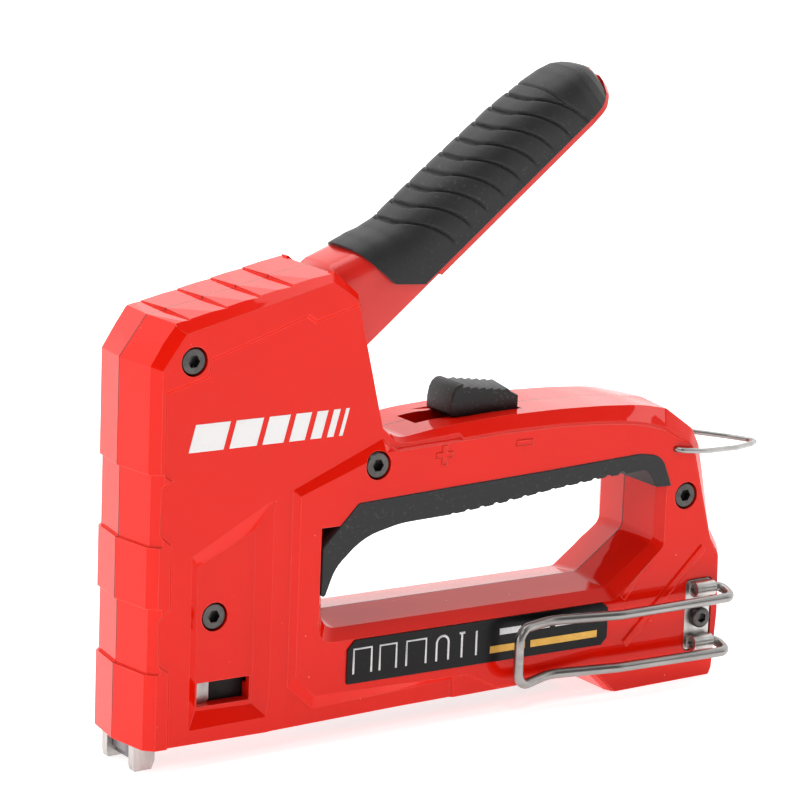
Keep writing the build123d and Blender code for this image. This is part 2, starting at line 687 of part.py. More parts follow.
def front_plate():
    """Wear plate in front of the blade."""
    return box(-1.75, -0.65, -5.6, 5.6, 3.0, 66.0)


# Small inner pieces -----------------------------------------------------------------------------
def spring_seat():
    """Plate under the top screw's bosses that the main spring works against."""
    plate = box(0.0, 15.3, -cavity_half + 0.2, cavity_half - 0.2, seat_z, seat_z + seat_thick)
    return plate + rod((spring_x, 0, seat_z - 3.0), (spring_x, 0, seat_z),
                       spring_mean - spring_wire - 0.25)


def bumper():
    """Rubber stop that the striker's block lands on."""
    return box(1.4, 14.4, -cavity_half + 0.4, cavity_half - 0.4, bumper_low, carrier_low - 0.1)


def main_spring():
    low = carrier_low + 3 + spring_wire
    return coil((spring_x, 0, low), (0, 0, 1), spring_mean, spring_wire, 10,
                seat_z - spring_wire - low)


def pivot_sleeve():
    return tube((pivot_x, -7.3, pivot_z), (pivot_x, 7.3, pivot_z), 4.2, pin_radius + running_gap)


def pivot_pin():
    half = cavity_half + 2.5
    return rod_y(pivot_x, pivot_z, -half, half, pin_radius)


def return_spring():
    """Torsion spring wound around the pivot sleeve."""
    mean, wire = 5.6, 0.6
    return coil((pivot_x, -3.5, pivot_z), (0, 1, 0), mean, wire, 4.5, 7.0)


def belt_hook():
    out, near, flare = -22.3, -18.3, -22.0
    rear = 176.9
    knuckle_y = -handle_half + recess_depth - 2.9
    points = [
        (170.0, knuckle_y, knuckles[0]), (rear + 1.6, knuckle_y, knuckles[0]),
        (rear + 1.6, out, 27.4),
        (140.0, out, 27.1), (119.5, near, 27.2), (106.8, flare, 27.2), (106.8, flare, 11.0),
        (119.5, near, 12.0), (140.0, out, 12.2), (rear + 0.8, out, 11.9),
        (rear + 0.8, knuckle_y, knuckles[1]), (170.0, knuckle_y, knuckles[1]),
    ]
    return bent_wire(points, wire_hook, [2.2, 2.2, 12.0, 12.0, 4.0, 4.0, 12.0, 12.0, 2.2, 2.2])


def hook_bracket():
    """Zinc plate in the housing's recess with a rolled knuckle at each end of the hook."""
    back = -handle_half + recess_depth
    x_low, x_high, z_low, z_high = bracket_recess
    plate = prism(rectangle(x_low + 0.3, x_high - 0.3, z_low + 0.3, z_high - 0.3), back - 1.2,
                  back, 1.3)
    body = plate - rod_y(bracket_x, bracket_z, -30, 0, bracket_screw_radius + 0.15)
    for z in knuckles:
        y = back - 2.9
        body += rod((169.0, y, z), (175.6, y, z), wire_hook + 0.9)
        body += box(169.0, 175.6, y, back - 0.6, z - 1.1, z + 1.1)
        body -= rod((160.0, y, z), (185.0, y, z), wire_hook + 0.03)
    return body


def bracket_screw():
    back = -handle_half + recess_depth - 1.2
    head = rod_y(bracket_x, bracket_z, back - 2.1, back, 2.9)
    head = fillet(head.edges().filter_by(GeomType.CIRCLE).sort_by(Axis.Y)[0], 1.2)
    return head + rod_y(bracket_x, bracket_z, back - 0.1, back + 5.6, bracket_screw_radius)


bail_reach = 40.5
bail_drop = 7.3


def lock_bail():
    """Wire loop hooked into both sides of the beam that holds the lever closed."""
    c, n = math.cos(math.radians(bail_drop)), math.sin(math.radians(bail_drop))

    def along(s, y):
        return bail_x + s * c, y, bail_z - s * n

    inner = 12.0
    outer = handle_half + 1.3
    half = [along(0, -inner), along(0, -outer), along(9.0, -outer), along(bail_reach * 0.62, -10.6),
            along(bail_reach * 0.86, -5.0)]
    other = [(x, -y, z) for x, y, z in reversed(half)]
    points = half + [along(bail_reach + 0.6, 0)] + other
    return bent_wire(points, wire_bail, [1.6, 10.0, 14.0, 8.0, 2.6, 8.0, 14.0, 10.0, 1.6])


# Power slide ------------------------------------------------------------------------------------
def power_button():
    low = [(93.0, ledge_z + 0.1), (114.3, ledge_z + 0.1), (114.3, 89.2), (112.6, 91.0), (97.0, 92.4), (94.2, 91.6),
           (92.2, 86.6)]
    body = prism(low, -button_half, button_half, [0.3, 0.3, 1.0, 1.0, 1.0, 1.0, 0.6])
    for i in range(6):
        x = 97.2 + i * 2.6
        z = 92.4 - (x - 97.0) * 0.09
        body -= prism([(x, z + 1), (x + 1.1, z + 1), (x + 0.9, z - 0.7), (x + 0.2, z - 0.7)],
                      -7, 7)
    return body + box(95.0, 112.0, -slot_half + 0.4, slot_half - 0.4, 80.6, 85.5)


def power_bar():
    """Flat bar under the beam's skin that carries the setting forward."""
    return box(88.0, 118.0, -5.4, 5.4, 78.2, 79.2) + box(97.0, 110.0, -3.0, 3.0, 79.1, 80.6)


def detent_spring():
    """Leaf under the bar that holds either setting."""
    return box(92.0, 126.0, -3.5, 3.5, 75.0, 75.6) + box(104.0, 108.0, -3.5, 3.5, 75.5, 77.4)


def grip_insert():
    half = handle_half + liner_proud
    body = prism(liner_back + liner_face, -half, half, liner_back_rounds + liner_face_rounds)
    for i in range(13):
        x = 88.0 + i * 4.6
        z = 60.0 + (x - 88.0) * 0.098
        body -= rod_y(x, z - 1.15, -20, 20, 1.3)
    return body


def name_label():
    points = [(56.0, 17.2), (138.6, 17.1), (140.5, 19.0), (140.5, 27.4), (138.6, 29.1),
              (58.4, 29.1), (56.0, 26.6)]
    return prism(points, -handle_half - 0.35, -handle_half, 0.4)


# Nodes ------------------------------------------------------------------------------------------
nodes = {
    "left_housing_half": left_half(),
    "right_housing_half": right_half(),
    "housing_screws": [socket_screw(*place) for place in screw_places],
    "housing_nuts": [hex_nut(*place) for place in screw_places],
    "lever_frame": lever_frame(),
    "lever_grip": lever_grip(),
    "lever_pivot_pin": pivot_pin(),
    "pivot_sleeve": pivot_sleeve(),
    "lever_return_spring": return_spring(),
    "striker_carrier": striker_carrier(),
    "driver_blade": driver_blade(),
    "blade_rivets": blade_rivets(),
    "main_spring": main_spring(),
    "spring_seat": spring_seat(),
    "striker_bumper": bumper(),
    "front_plate": front_plate(),
    "nose_guide": nose_guide(),
    "magazine_channel": magazine_channel(),
    "magazine_rail": magazine_rail(),
    "magazine_end_cap": end_cap(),
    "pusher_rod": pusher_rod(),
    "staple_pusher": staple_pusher(),
    "pusher_spring": pusher_spring(),
    "staple_strip": staple_strip(),
    "power_button": power_button(),
    "power_bar": power_bar(),
    "detent_spring": detent_spring(),
    "grip_insert": grip_insert(),
    "handle_lock_bail": lock_bail(),
    "belt_hook": belt_hook(),
    "hook_bracket": hook_bracket(),
    "bracket_screw": bracket_screw(),
    "name_label": name_label(),
}

for name, shape in nodes.items():
    pieces = shape if isinstance(shape, list) else [shape]
    solids = [solid for piece in pieces for solid in piece.solids()]
    placed = [Rot(0, stand_angle, 0) * solid for solid in solids]
    result = placed[0] if len(placed) == 1 else Compound(children=placed)
    export_step(result, f"parts/{name}.step")
    print(name, len(placed), round(sum(solid.volume for solid in placed), 1))
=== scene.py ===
import math

import bmesh
import bpy
from mathutils import Matrix, Vector


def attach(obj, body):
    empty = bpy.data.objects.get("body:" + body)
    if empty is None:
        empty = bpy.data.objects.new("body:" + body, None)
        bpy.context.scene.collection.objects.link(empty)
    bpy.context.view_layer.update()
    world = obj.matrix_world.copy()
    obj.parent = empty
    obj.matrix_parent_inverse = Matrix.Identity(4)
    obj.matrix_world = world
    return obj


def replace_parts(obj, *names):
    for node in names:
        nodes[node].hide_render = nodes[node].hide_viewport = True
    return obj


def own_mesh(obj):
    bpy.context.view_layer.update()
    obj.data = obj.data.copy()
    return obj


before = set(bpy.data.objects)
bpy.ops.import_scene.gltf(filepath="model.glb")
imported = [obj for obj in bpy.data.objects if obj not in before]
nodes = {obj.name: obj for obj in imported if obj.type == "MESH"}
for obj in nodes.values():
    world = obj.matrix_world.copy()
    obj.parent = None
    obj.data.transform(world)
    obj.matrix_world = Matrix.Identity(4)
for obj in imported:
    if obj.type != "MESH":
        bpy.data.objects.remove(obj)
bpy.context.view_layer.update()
scene = bpy.context.scene
print("frame loaded:", len(nodes), "nodes")

# Pieces are drawn in millimetres, square to the housing, then leaned back with it and scaled
standAngle = math.radians(1.1)
toRow = Matrix.Rotation(standAngle, 4, "Y") @ Matrix.Scale(0.001, 4)
pivot = Vector((46.0, 0.0, 98.0))
leverAngle = math.radians(38.5)
onLever = toRow @ Matrix.Translation(pivot) @ Matrix.Rotation(-leverAngle, 4, "Y")


# Camera
cameraPlace = {
    "target": (0.08175, 0.0, 0.08672),
    "distance": 1.0036,
    "yaw": 33.63,
    "pitch": 13.03,
    "roll": 2.15,
    "lens": 170.38,
}


def makeCamera(place):
    data = bpy.data.cameras.new("studioCamera")
    data.lens = place["lens"]
    data.sensor_width = 36
    data.clip_end = 30
    camera = bpy.data.objects.new("studioCamera", data)
    scene.collection.objects.link(camera)
    yaw = math.radians(place["yaw"])
    pitch = math.radians(place["pitch"])
    roll = math.radians(place["roll"])
    back = Vector((-math.sin(yaw) * math.cos(pitch), -math.cos(yaw) * math.cos(pitch), math.sin(pitch)))
    right = Vector((math.cos(yaw), -math.sin(yaw), 0))
    up = back.cross(right)
    rolled = math.cos(roll) * right + math.sin(roll) * up
    above = math.cos(roll) * up - math.sin(roll) * right
    turn = Matrix((rolled, above, back)).transposed().to_4x4()
    lean = Matrix.Rotation(standAngle, 4, "Y")
    target = Vector(place["target"])
    eye = Matrix.Translation(target + lean.to_3x3() @ back * place["distance"])
    camera.matrix_world = eye @ lean @ turn
    scene.camera = camera


makeCamera(cameraPlace)


# Studio: pale floor, four soft panels and a sky that dims towards the camera
studio = {
    "floorSize": 14.0,
    "floorColour": (0.72, 0.72, 0.72, 1),
    "floorGlow": 0.6,
    "skyBright": 1.2,
    "skyDim": 0.1,
    "panels": [
        ("overhead", (0.1, 0.1, 1.2), (0.08, 0, 0.08), 0.8, 3.35),
        ("keyPanel", (-0.3, -0.9, 1.1), (0.08, 0, 0.08), 0.22, 1.95),
        ("leftSide", (-1.2, -0.15, 0.5), (0.04, 0, 0.08), 0.5, 2.6),
        ("rightFill", (1.0, -0.7, 0.6), (0.1, 0, 0.06), 0.25, 0.5),
    ],
}


def makeStudio(look):
    scene.view_settings.view_transform = "Standard"
    scene.view_settings.look = "Medium High Contrast"
    world = bpy.data.worlds.new("studioWorld")
    scene.world = world
    world.use_nodes = True
    tree = world.node_tree
    background = tree.nodes["Background"]
    background.inputs["Color"].default_value = (1, 1, 1, 1)
    place = tree.nodes.new("ShaderNodeTexCoord")
    facing = tree.nodes.new("ShaderNodeVectorMath")
    facing.operation = "DOT_PRODUCT"
    facing.inputs[1].default_value = Vector((-0.35, -0.92, 0.1)).normalized()
    dim = tree.nodes.new("ShaderNodeMapRange")
    dim.interpolation_type = "SMOOTHSTEP"
    dim.inputs["From Min"].default_value = -0.15
    dim.inputs["From Max"].default_value = 0.55
    dim.inputs["To Min"].default_value = look["skyBright"]
    dim.inputs["To Max"].default_value = look["skyDim"]
    tree.links.new(place.outputs["Generated"], facing.inputs[0])
    tree.links.new(facing.outputs["Value"], dim.inputs["Value"])
    tree.links.new(dim.outputs["Result"], background.inputs["Strength"])

    bm = bmesh.new()
    bmesh.ops.create_grid(bm, x_segments=8, y_segments=8, size=look["floorSize"] / 2)
    mesh = bpy.data.meshes.new("studioFloor")
    bm.to_mesh(mesh)
    bm.free()
    floor = bpy.data.objects.new("studioFloor", mesh)
    scene.collection.objects.link(floor)
    paper = bpy.data.materials.new("floorPaper")
    paper.use_nodes = True
    shader = paper.node_tree.nodes["Principled BSDF"]
    shader.inputs["Base Color"].default_value = look["floorColour"]
    shader.inputs["Roughness"].default_value = 0.75
    shader.inputs["Emission Color"].default_value = (1, 1, 1, 1)
    shader.inputs["Emission Strength"].default_value = look["floorGlow"]
    mesh.materials.append(paper)

    for name, spot, aim, size, power in look["panels"]:
        lamp = bpy.data.lights.new(name, "AREA")
        lamp.shape = "SQUARE"
        lamp.size = size
        lamp.energy = power
        panel = bpy.data.objects.new(name, lamp)
        scene.collection.objects.link(panel)
        panel.location = spot
        panel.rotation_mode = "QUATERNION"
        panel.rotation_quaternion = (Vector(aim) - Vector(spot)).to_track_quat("-Z", "Y")


makeStudio(studio)
print("camera and studio made")


# Shader groups shared by the finishes
def startGroup(name, inputs, outputs):
    group = bpy.data.node_groups.new(name, "ShaderNodeTree")
    kinds = {"value": "NodeSocketFloat", "colour": "NodeSocketColor", "vector": "NodeSocketVector"}
    for label, kind, start in inputs:
        socket = group.interface.new_socket(name=label, in_out="INPUT", socket_type=kinds[kind])
        if start is not None:
            socket.default_value = start
    for label, kind in outputs:
        group.interface.new_socket(name=label, in_out="OUTPUT", socket_type=kinds[kind])
    return group, group.nodes.new("NodeGroupInput"), group.nodes.new("NodeGroupOutput")


def addNode(tree, kind, settings=None, inputs=None):
    node = tree.nodes.new(kind)
    for key, value in (settings or {}).items():
        setattr(node, key, value)
    for key, value in (inputs or {}).items():
        if isinstance(value, bpy.types.NodeSocket):
            tree.links.new(value, node.inputs[key])
        else:
            node.inputs[key].default_value = value
    return node


def mixColours(tree, factor, first, second, blend="MIX"):
    node = tree.nodes.new("ShaderNodeMix")
    node.data_type = "RGBA"
    node.blend_type = blend
    for socket, value in ((node.inputs[0], factor), (node.inputs[6], first), (node.inputs[7], second)):
        if isinstance(value, bpy.types.NodeSocket):
            tree.links.new(value, socket)
        else:
            socket.default_value = value
    return node.outputs[2]


def calc(tree, operation, first, second=0.0, clamp=False):
    settings = {"operation": operation, "use_clamp": clamp}
    return addNode(tree, "ShaderNodeMath", settings, {0: first, 1: second}).outputs[0]


def noiseAt(tree, vector, scale, detail=2.0, roughness=0.5):
    inputs = {"Vector": vector, "Scale": scale, "Detail": detail, "Roughness": roughness}
    return addNode(tree, "ShaderNodeTexNoise", None, inputs).outputs["Fac"]


def stretchTo(tree, value, low, high, newLow=0.0, newHigh=1.0):
    inputs = {"Value": value, "From Min": low, "From Max": high, "To Min": newLow, "To Max": newHigh}
    return addNode(tree, "ShaderNodeMapRange", None, inputs).outputs["Result"]


def makeEdgeGroup():
    inputs = [("Radius", "value", 0.0004), ("Spread", "value", 6.0)]
    group, enter, leave = startGroup("softenedEdge", inputs, [("Normal", "vector"), ("Edge", "value")])
    rounded = addNode(group, "ShaderNodeBevel", {"samples": 5}, {"Radius": enter.outputs["Radius"]})
    flat = group.nodes.new("ShaderNodeNewGeometry")
    dot = addNode(group, "ShaderNodeVectorMath", {"operation": "DOT_PRODUCT"},
                  {0: rounded.outputs[0], 1: flat.outputs["Normal"]}).outputs["Value"]
    edge = calc(group, "MULTIPLY", calc(group, "SUBTRACT", 1.0, dot), enter.outputs["Spread"], True)
    group.links.new(rounded.outputs[0], leave.inputs["Normal"])
    group.links.new(edge, leave.inputs["Edge"])
    return group


def makePaintGroup():
    inputs = [
        ("Vector", "vector", None), ("Edge", "value", 0.0), ("Colour", "colour", None),
        ("Edge Highlight Colour", "colour", None), ("Peel Scale", "value", 900.0), ("Cloud", "value", 0.06),
        ("Specks", "value", 0.5), ("Gloss", "value", 0.25), ("Seam", "value", 0.0),
    ]
    outputs = [("Colour", "colour"), ("Roughness", "value"), ("Height", "value")]
    group, enter, leave = startGroup("sprayedPaint", inputs, outputs)
    place = enter.outputs["Vector"]
    cloud = stretchTo(group, noiseAt(group, place, 28.0, 3.0), 0.3, 0.7)
    deep = addNode(group, "ShaderNodeHueSaturation", None,
                   {"Color": enter.outputs["Colour"], "Value": 0.86}).outputs["Color"]
    shade = calc(group, "MULTIPLY", cloud, calc(group, "MULTIPLY", enter.outputs["Cloud"], 10.0), True)
    base = mixColours(group, shade, enter.outputs["Colour"], deep)
    # Painted highlight: along edges the base is pulled towards a lighter edge colour, standing in for light
    # caught on the rounded edges
    base = mixColours(group, calc(group, "MULTIPLY", enter.outputs["Edge"], 0.7), base,
                      enter.outputs["Edge Highlight Colour"])
    speckCells = addNode(group, "ShaderNodeTexVoronoi", {"feature": "F1"},
                         {"Vector": place, "Scale": 170.0})
    dots = stretchTo(group, speckCells.outputs["Distance"], 0.035, 0.02)
    patches = stretchTo(group, noiseAt(group, place, 19.0, 1.0), 0.5, 0.62)
    specks = calc(group, "MULTIPLY", calc(group, "MULTIPLY", dots, patches), enter.outputs["Specks"], True)
    base = mixColours(group, specks, base, (0.95, 0.72, 0.66, 1))
    across = addNode(group, "ShaderNodeSeparateXYZ", None, {"Vector": place}).outputs["Y"]
    seam = stretchTo(group, calc(group, "ABSOLUTE", across), 0.00026, 0.00017)
    seam = calc(group, "MULTIPLY", seam, enter.outputs["Seam"], True)
    base = mixColours(group, calc(group, "MULTIPLY", seam, 0.85), base, (0.05, 0.004, 0.003, 1))
    peel = noiseAt(group, place, enter.outputs["Peel Scale"], 1.0)
    wave = noiseAt(group, place, 160.0, 1.0)
    height = calc(group, "ADD", calc(group, "MULTIPLY", peel, 0.35), wave)
    wander = calc(group, "MULTIPLY", calc(group, "SUBTRACT", cloud, 0.5), 0.08)
    rough = calc(group, "ADD", enter.outputs["Gloss"], wander)
    rough = calc(group, "ADD", rough, calc(group, "MULTIPLY", specks, 0.4), True)
    group.links.new(base, leave.inputs["Colour"])
    group.links.new(rough, leave.inputs["Roughness"])
    group.links.new(height, leave.inputs["Height"])
    return group


def makeGrainGroup():
    inputs = [
        ("Vector", "vector", None), ("Edge", "value", 0.0), ("Colour", "colour", None),
        ("Worn Colour", "colour", None), ("Grain Scale", "value", 1500.0), ("Roughness", "value", 0.6),
        ("Dust", "value", 0.3),
    ]
    outputs = [("Colour", "colour"), ("Roughness", "value"), ("Height", "value")]
    group, enter, leave = startGroup("mouldedGrain", inputs, outputs)
    place = enter.outputs["Vector"]
    grain = noiseAt(group, place, enter.outputs["Grain Scale"], 2.0, 0.6)
    smudge = stretchTo(group, noiseAt(group, place, 60.0, 4.0, 0.6), 0.35, 0.75)
    dust = stretchTo(group, noiseAt(group, place, 1100.0, 0.0), 0.68, 0.76)
    dust = calc(group, "MULTIPLY", calc(group, "MULTIPLY", dust, smudge), enter.outputs["Dust"], True)
    wear = calc(group, "MULTIPLY", enter.outputs["Edge"], 0.6)
    tone = calc(group, "ADD", calc(group, "MULTIPLY", smudge, 0.22), wear, True)
    base = mixColours(group, tone, enter.outputs["Colour"], enter.outputs["Worn Colour"])
    base = mixColours(group, dust, base, (0.4, 0.39, 0.38, 1))
    rough = calc(group, "ADD", enter.outputs["Roughness"], calc(group, "MULTIPLY", smudge, 0.1), True)
    group.links.new(base, leave.inputs["Colour"])
    group.links.new(rough, leave.inputs["Roughness"])
    group.links.new(grain, leave.inputs["Height"])
    return group


def makeMetalGroup():
    inputs = [
        ("Vector", "vector", None), ("Edge", "value", 0.0), ("Colour", "colour", None),
        ("Dark Colour", "colour", None), ("Scale", "value", 300.0), ("Roughness", "value", 0.25),
        ("Tarnish", "value", 0.3),
    ]
    outputs = [("Colour", "colour"), ("Roughness", "value"), ("Height", "value")]
    group, enter, leave = startGroup("workedMetal", inputs, outputs)
    place = enter.outputs["Vector"]
    lines = noiseAt(group, place, enter.outputs["Scale"], 3.0, 0.65)
    spots = stretchTo(group, noiseAt(group, place, 90.0, 4.0, 0.6), 0.42, 0.72)
    tarnish = calc(group, "MULTIPLY", spots, enter.outputs["Tarnish"], True)
    lift = calc(group, "MULTIPLY", stretchTo(group, lines, 0.3, 0.7), 0.3)
    tone = calc(group, "ADD", tarnish, lift)
    tone = calc(group, "SUBTRACT", tone, calc(group, "MULTIPLY", enter.outputs["Edge"], 0.5), True)
    base = mixColours(group, tone, enter.outputs["Colour"], enter.outputs["Dark Colour"])
    rough = calc(group, "ADD", enter.outputs["Roughness"], calc(group, "MULTIPLY", tone, 0.22), True)
    group.links.new(base, leave.inputs["Colour"])
    group.links.new(rough, leave.inputs["Roughness"])
    group.links.new(lines, leave.inputs["Height"])
    return group


edgeGroup = makeEdgeGroup()
paintGroup = makePaintGroup()
grainGroup = makeGrainGroup()
metalGroup = makeMetalGroup()


def makeFinish(name, group, values, shader, edge, bump, stretch=(1, 1, 1)):
    material = bpy.data.materials.new(name)
    material.use_nodes = True
    tree = material.node_tree
    principled = tree.nodes["Principled BSDF"]
    for key, value in shader.items():
        principled.inputs[key].default_value = value
    soft = addNode(tree, "ShaderNodeGroup", {"node_tree": edgeGroup})
    soft.inputs["Radius"].default_value = edge["radius"]
    soft.inputs["Spread"].default_value = edge["spread"]
    coords = tree.nodes.new("ShaderNodeTexCoord")
    spread = addNode(tree, "ShaderNodeMapping", None, {"Vector": coords.outputs["Object"]})
    spread.inputs["Scale"].default_value = stretch
    skin = addNode(tree, "ShaderNodeGroup", {"node_tree": group})
    tree.links.new(spread.outputs["Vector"], skin.inputs["Vector"])
    tree.links.new(soft.outputs["Edge"], skin.inputs["Edge"])
    for key, value in values.items():
        skin.inputs[key].default_value = value
    relief = tree.nodes.new("ShaderNodeBump")
    relief.inputs["Strength"].default_value = bump["strength"]
    relief.inputs["Distance"].default_value = bump["distance"]
    tree.links.new(skin.outputs["Height"], relief.inputs["Height"])
    tree.links.new(soft.outputs["Normal"], relief.inputs["Normal"])
    tree.links.new(skin.outputs["Colour"], principled.inputs["Base Color"])
    tree.links.new(skin.outputs["Roughness"], principled.inputs["Roughness"])
    tree.links.new(relief.outputs["Normal"], principled.inputs["Normal"])
    return material


finishes = {
    "redPaint": makeFinish(
        "redPaint", paintGroup,
        # the edge colour is lighter than the paint: a painted highlight along edges
        {"Colour": (0.86, 0.016, 0.004, 1), "Edge Highlight Colour": (1.0, 0.2, 0.14, 1),
         "Peel Scale": 700.0, "Cloud": 0.05, "Specks": 0.5, "Gloss": 0.24, "Seam": 1.0},
        {"Coat Weight": 0.7, "Coat Roughness": 0.03, "Coat IOR": 1.5, "Specular IOR Level": 0.02},
        {"radius": 0.0003, "spread": 7.0}, {"strength": 0.16, "distance": 0.0004}),
    "leverPaint": makeFinish(
        "leverPaint", paintGroup,
        # the edge colour is lighter than the paint: a painted highlight along edges
        {"Colour": (0.74, 0.03, 0.02, 1), "Edge Highlight Colour": (0.85, 0.06, 0.035, 1),
         "Peel Scale": 900.0, "Cloud": 0.06, "Specks": 0.35, "Gloss": 0.34},
        {"Coat Weight": 0.45, "Coat Roughness": 0.16},
        {"radius": 0.0004, "spread": 5.0}, {"strength": 0.12, "distance": 0.0004}),
    "softRubber": makeFinish(
        "softRubber", grainGroup,
        {"Colour": (0.024, 0.024, 0.025, 1), "Worn Colour": (0.06, 0.06, 0.06, 1),
         "Grain Scale": 1900.0, "Roughness": 0.5, "Dust": 0.1},
        {"Specular IOR Level": 0.45, "Sheen Weight": 0.12, "Sheen Roughness": 0.5},
        {"radius": 0.0003, "spread": 4.0}, {"strength": 0.35, "distance": 0.00015}),
    "blackPlastic": makeFinish(
        "blackPlastic", grainGroup,
        {"Colour": (0.022, 0.022, 0.023, 1), "Worn Colour": (0.06, 0.06, 0.06, 1),
         "Grain Scale": 2400.0, "Roughness": 0.38, "Dust": 0.2},
        {"Specular IOR Level": 0.5},
        {"radius": 0.0003, "spread": 4.0}, {"strength": 0.25, "distance": 0.0001}),
    "blackSteel": makeFinish(
        "blackSteel", metalGroup,
        {"Colour": (0.14, 0.135, 0.13, 1), "Dark Colour": (0.035, 0.034, 0.034, 1),
         "Scale": 900.0, "Roughness": 0.27, "Tarnish": 0.45},
        {"Metallic": 0.9},
        {"radius": 0.0003, "spread": 5.0}, {"strength": 0.2, "distance": 0.0001}),
    "zincSteel": makeFinish(
        "zincSteel", metalGroup,
        {"Colour": (0.6, 0.59, 0.57, 1), "Dark Colour": (0.3, 0.29, 0.28, 1),
         "Scale": 350.0, "Roughness": 0.31, "Tarnish": 0.35},
        {"Metallic": 1.0},
        {"radius": 0.0003, "spread": 5.0}, {"strength": 0.15, "distance": 0.0001}, (1, 1, 0.25)),
    "wireSteel": makeFinish(
        "wireSteel", metalGroup,
        {"Colour": (0.42, 0.41, 0.4, 1), "Dark Colour": (0.18, 0.17, 0.16, 1),
         "Scale": 420.0, "Roughness": 0.3, "Tarnish": 0.3},
        {"Metallic": 1.0},
        {"radius": 0.0002, "spread": 3.0}, {"strength": 0.12, "distance": 0.0001}, (0.15, 1, 1)),
    "springSteel": makeFinish(
        "springSteel", metalGroup,
        {"Colour": (0.45, 0.45, 0.46, 1), "Dark Colour": (0.16, 0.16, 0.17, 1),
         "Scale": 500.0, "Roughness": 0.3, "Tarnish": 0.4},
        {"Metallic": 1.0},
        {"radius": 0.0001, "spread": 3.0}, {"strength": 0.12, "distance": 0.0001}),
    "darkSteel": makeFinish(
        "darkSteel", metalGroup,
        {"Colour": (0.3, 0.3, 0.31, 1), "Dark Colour": (0.09, 0.09, 0.095, 1),
         "Scale": 260.0, "Roughness": 0.34, "Tarnish": 0.5},
        {"Metallic": 1.0},
        {"radius": 0.0002, "spread": 4.0}, {"strength": 0.15, "distance": 0.0001}, (1, 1, 0.2)),
    # Near-black finish for the magazine channel: painted shade for the shadowed inside of the magazine window
    "channelPaintedShade": makeFinish(
        "channelPaintedShade", metalGroup,
        {"Colour": (0.035, 0.034, 0.034, 1), "Dark Colour": (0.012, 0.012, 0.012, 1),
         "Scale": 500.0, "Roughness": 0.42, "Tarnish": 0.5},
        {"Metallic": 0.5},
        {"radius": 0.0002, "spread": 4.0}, {"strength": 0.15, "distance": 0.0001}),
    "stapleSteel": makeFinish(
        "stapleSteel", metalGroup,
        {"Colour": (0.72, 0.72, 0.7, 1), "Dark Colour": (0.25, 0.25, 0.25, 1),
         "Scale": 1500.0, "Roughness": 0.28, "Tarnish": 0.15},
        {"Metallic": 1.0},
        {"radius": 0.0001, "spread": 3.0}, {"strength": 0.5, "distance": 0.0002}, (1, 0.02, 0.02)),
    "labelFilm": makeFinish(
        "labelFilm", grainGroup,
        {"Colour": (0.008, 0.008, 0.009, 1), "Worn Colour": (0.016, 0.016, 0.017, 1),
         "Grain Scale": 1400.0, "Roughness": 0.26, "Dust": 0.03},
        {"Specular IOR Level": 0.3},
        {"radius": 0.0002, "spread": 3.0}, {"strength": 0.05, "distance": 0.0001}),
    "labelSilver": makeFinish(
        "labelSilver", metalGroup,
        {"Colour": (0.7, 0.7, 0.7, 1), "Dark Colour": (0.35, 0.35, 0.36, 1),
         "Scale": 800.0, "Roughness": 0.35, "Tarnish": 0.2},
        {"Metallic": 0.6},
        {"radius": 0.0001, "spread": 3.0}, {"strength": 0.1, "distance": 0.0001}),
    "labelGold": makeFinish(
        "labelGold", metalGroup,
        {"Colour": (0.75, 0.46, 0.12, 1), "Dark Colour": (0.45, 0.25, 0.05, 1),
         "Scale": 800.0, "Roughness": 0.35, "Tarnish": 0.2},
        {"Metallic": 0.6},
        {"radius": 0.0001, "spread": 3.0}, {"strength": 0.1, "distance": 0.0001}),
    "whitePrint": makeFinish(
        "whitePrint", grainGroup,
        {"Colour": (0.86, 0.85, 0.84, 1), "Worn Colour": (0.78, 0.7, 0.68, 1),
         "Grain Scale": 1800.0, "Roughness": 0.3, "Dust": 0.1},
        {"Coat Weight": 0.5, "Coat Roughness": 0.06},
        {"radius": 0.0001, "spread": 3.0}, {"strength": 0.05, "distance": 0.0001}),
}

nodeFinishes = {
    "redPaint": ["left_housing_half", "right_housing_half"],
    "leverPaint": ["lever_frame"],
    "softRubber": ["lever_grip", "grip_insert", "striker_bumper"],
    "blackPlastic": ["power_button", "power_bar", "magazine_end_cap", "staple_pusher"],
    "blackSteel": ["housing_screws", "bracket_screw"],
    "zincSteel": ["hook_bracket", "nose_guide", "housing_nuts", "pivot_sleeve"],
    "wireSteel": ["belt_hook", "handle_lock_bail"],
    "springSteel": ["main_spring", "lever_return_spring", "pusher_spring", "detent_spring"],
    # the magazine channel is coloured near black as painted shade for the inside of the window
    "channelPaintedShade": ["magazine_channel"],
    "darkSteel": ["driver_blade", "striker_carrier", "blade_rivets", "spring_seat", "front_plate",
                  "lever_pivot_pin", "pusher_rod", "magazine_rail"],
    "stapleSteel": ["staple_strip"],
    "labelFilm": ["name_label"],
}
for finish, names in nodeFinishes.items():
    for name in names:
        mesh = nodes[name].data
        mesh.materials.clear()
        mesh.materials.append(finishes[finish])
print("finishes made:", len(finishes))


def curveAt(points, where):
    # Smooth curve through (place, value) pairs
    if where <= points[0][0]:
        return points[0][1]
    for (a, low), (b, high) in zip(points, points[1:]):
        if where <= b:
            part = (where - a) / (b - a)
            return low + (high - low) * part * (1 if b - a < 3 else (part * (3 - 2 * part) + 2) / 3)
    return points[-1][1]


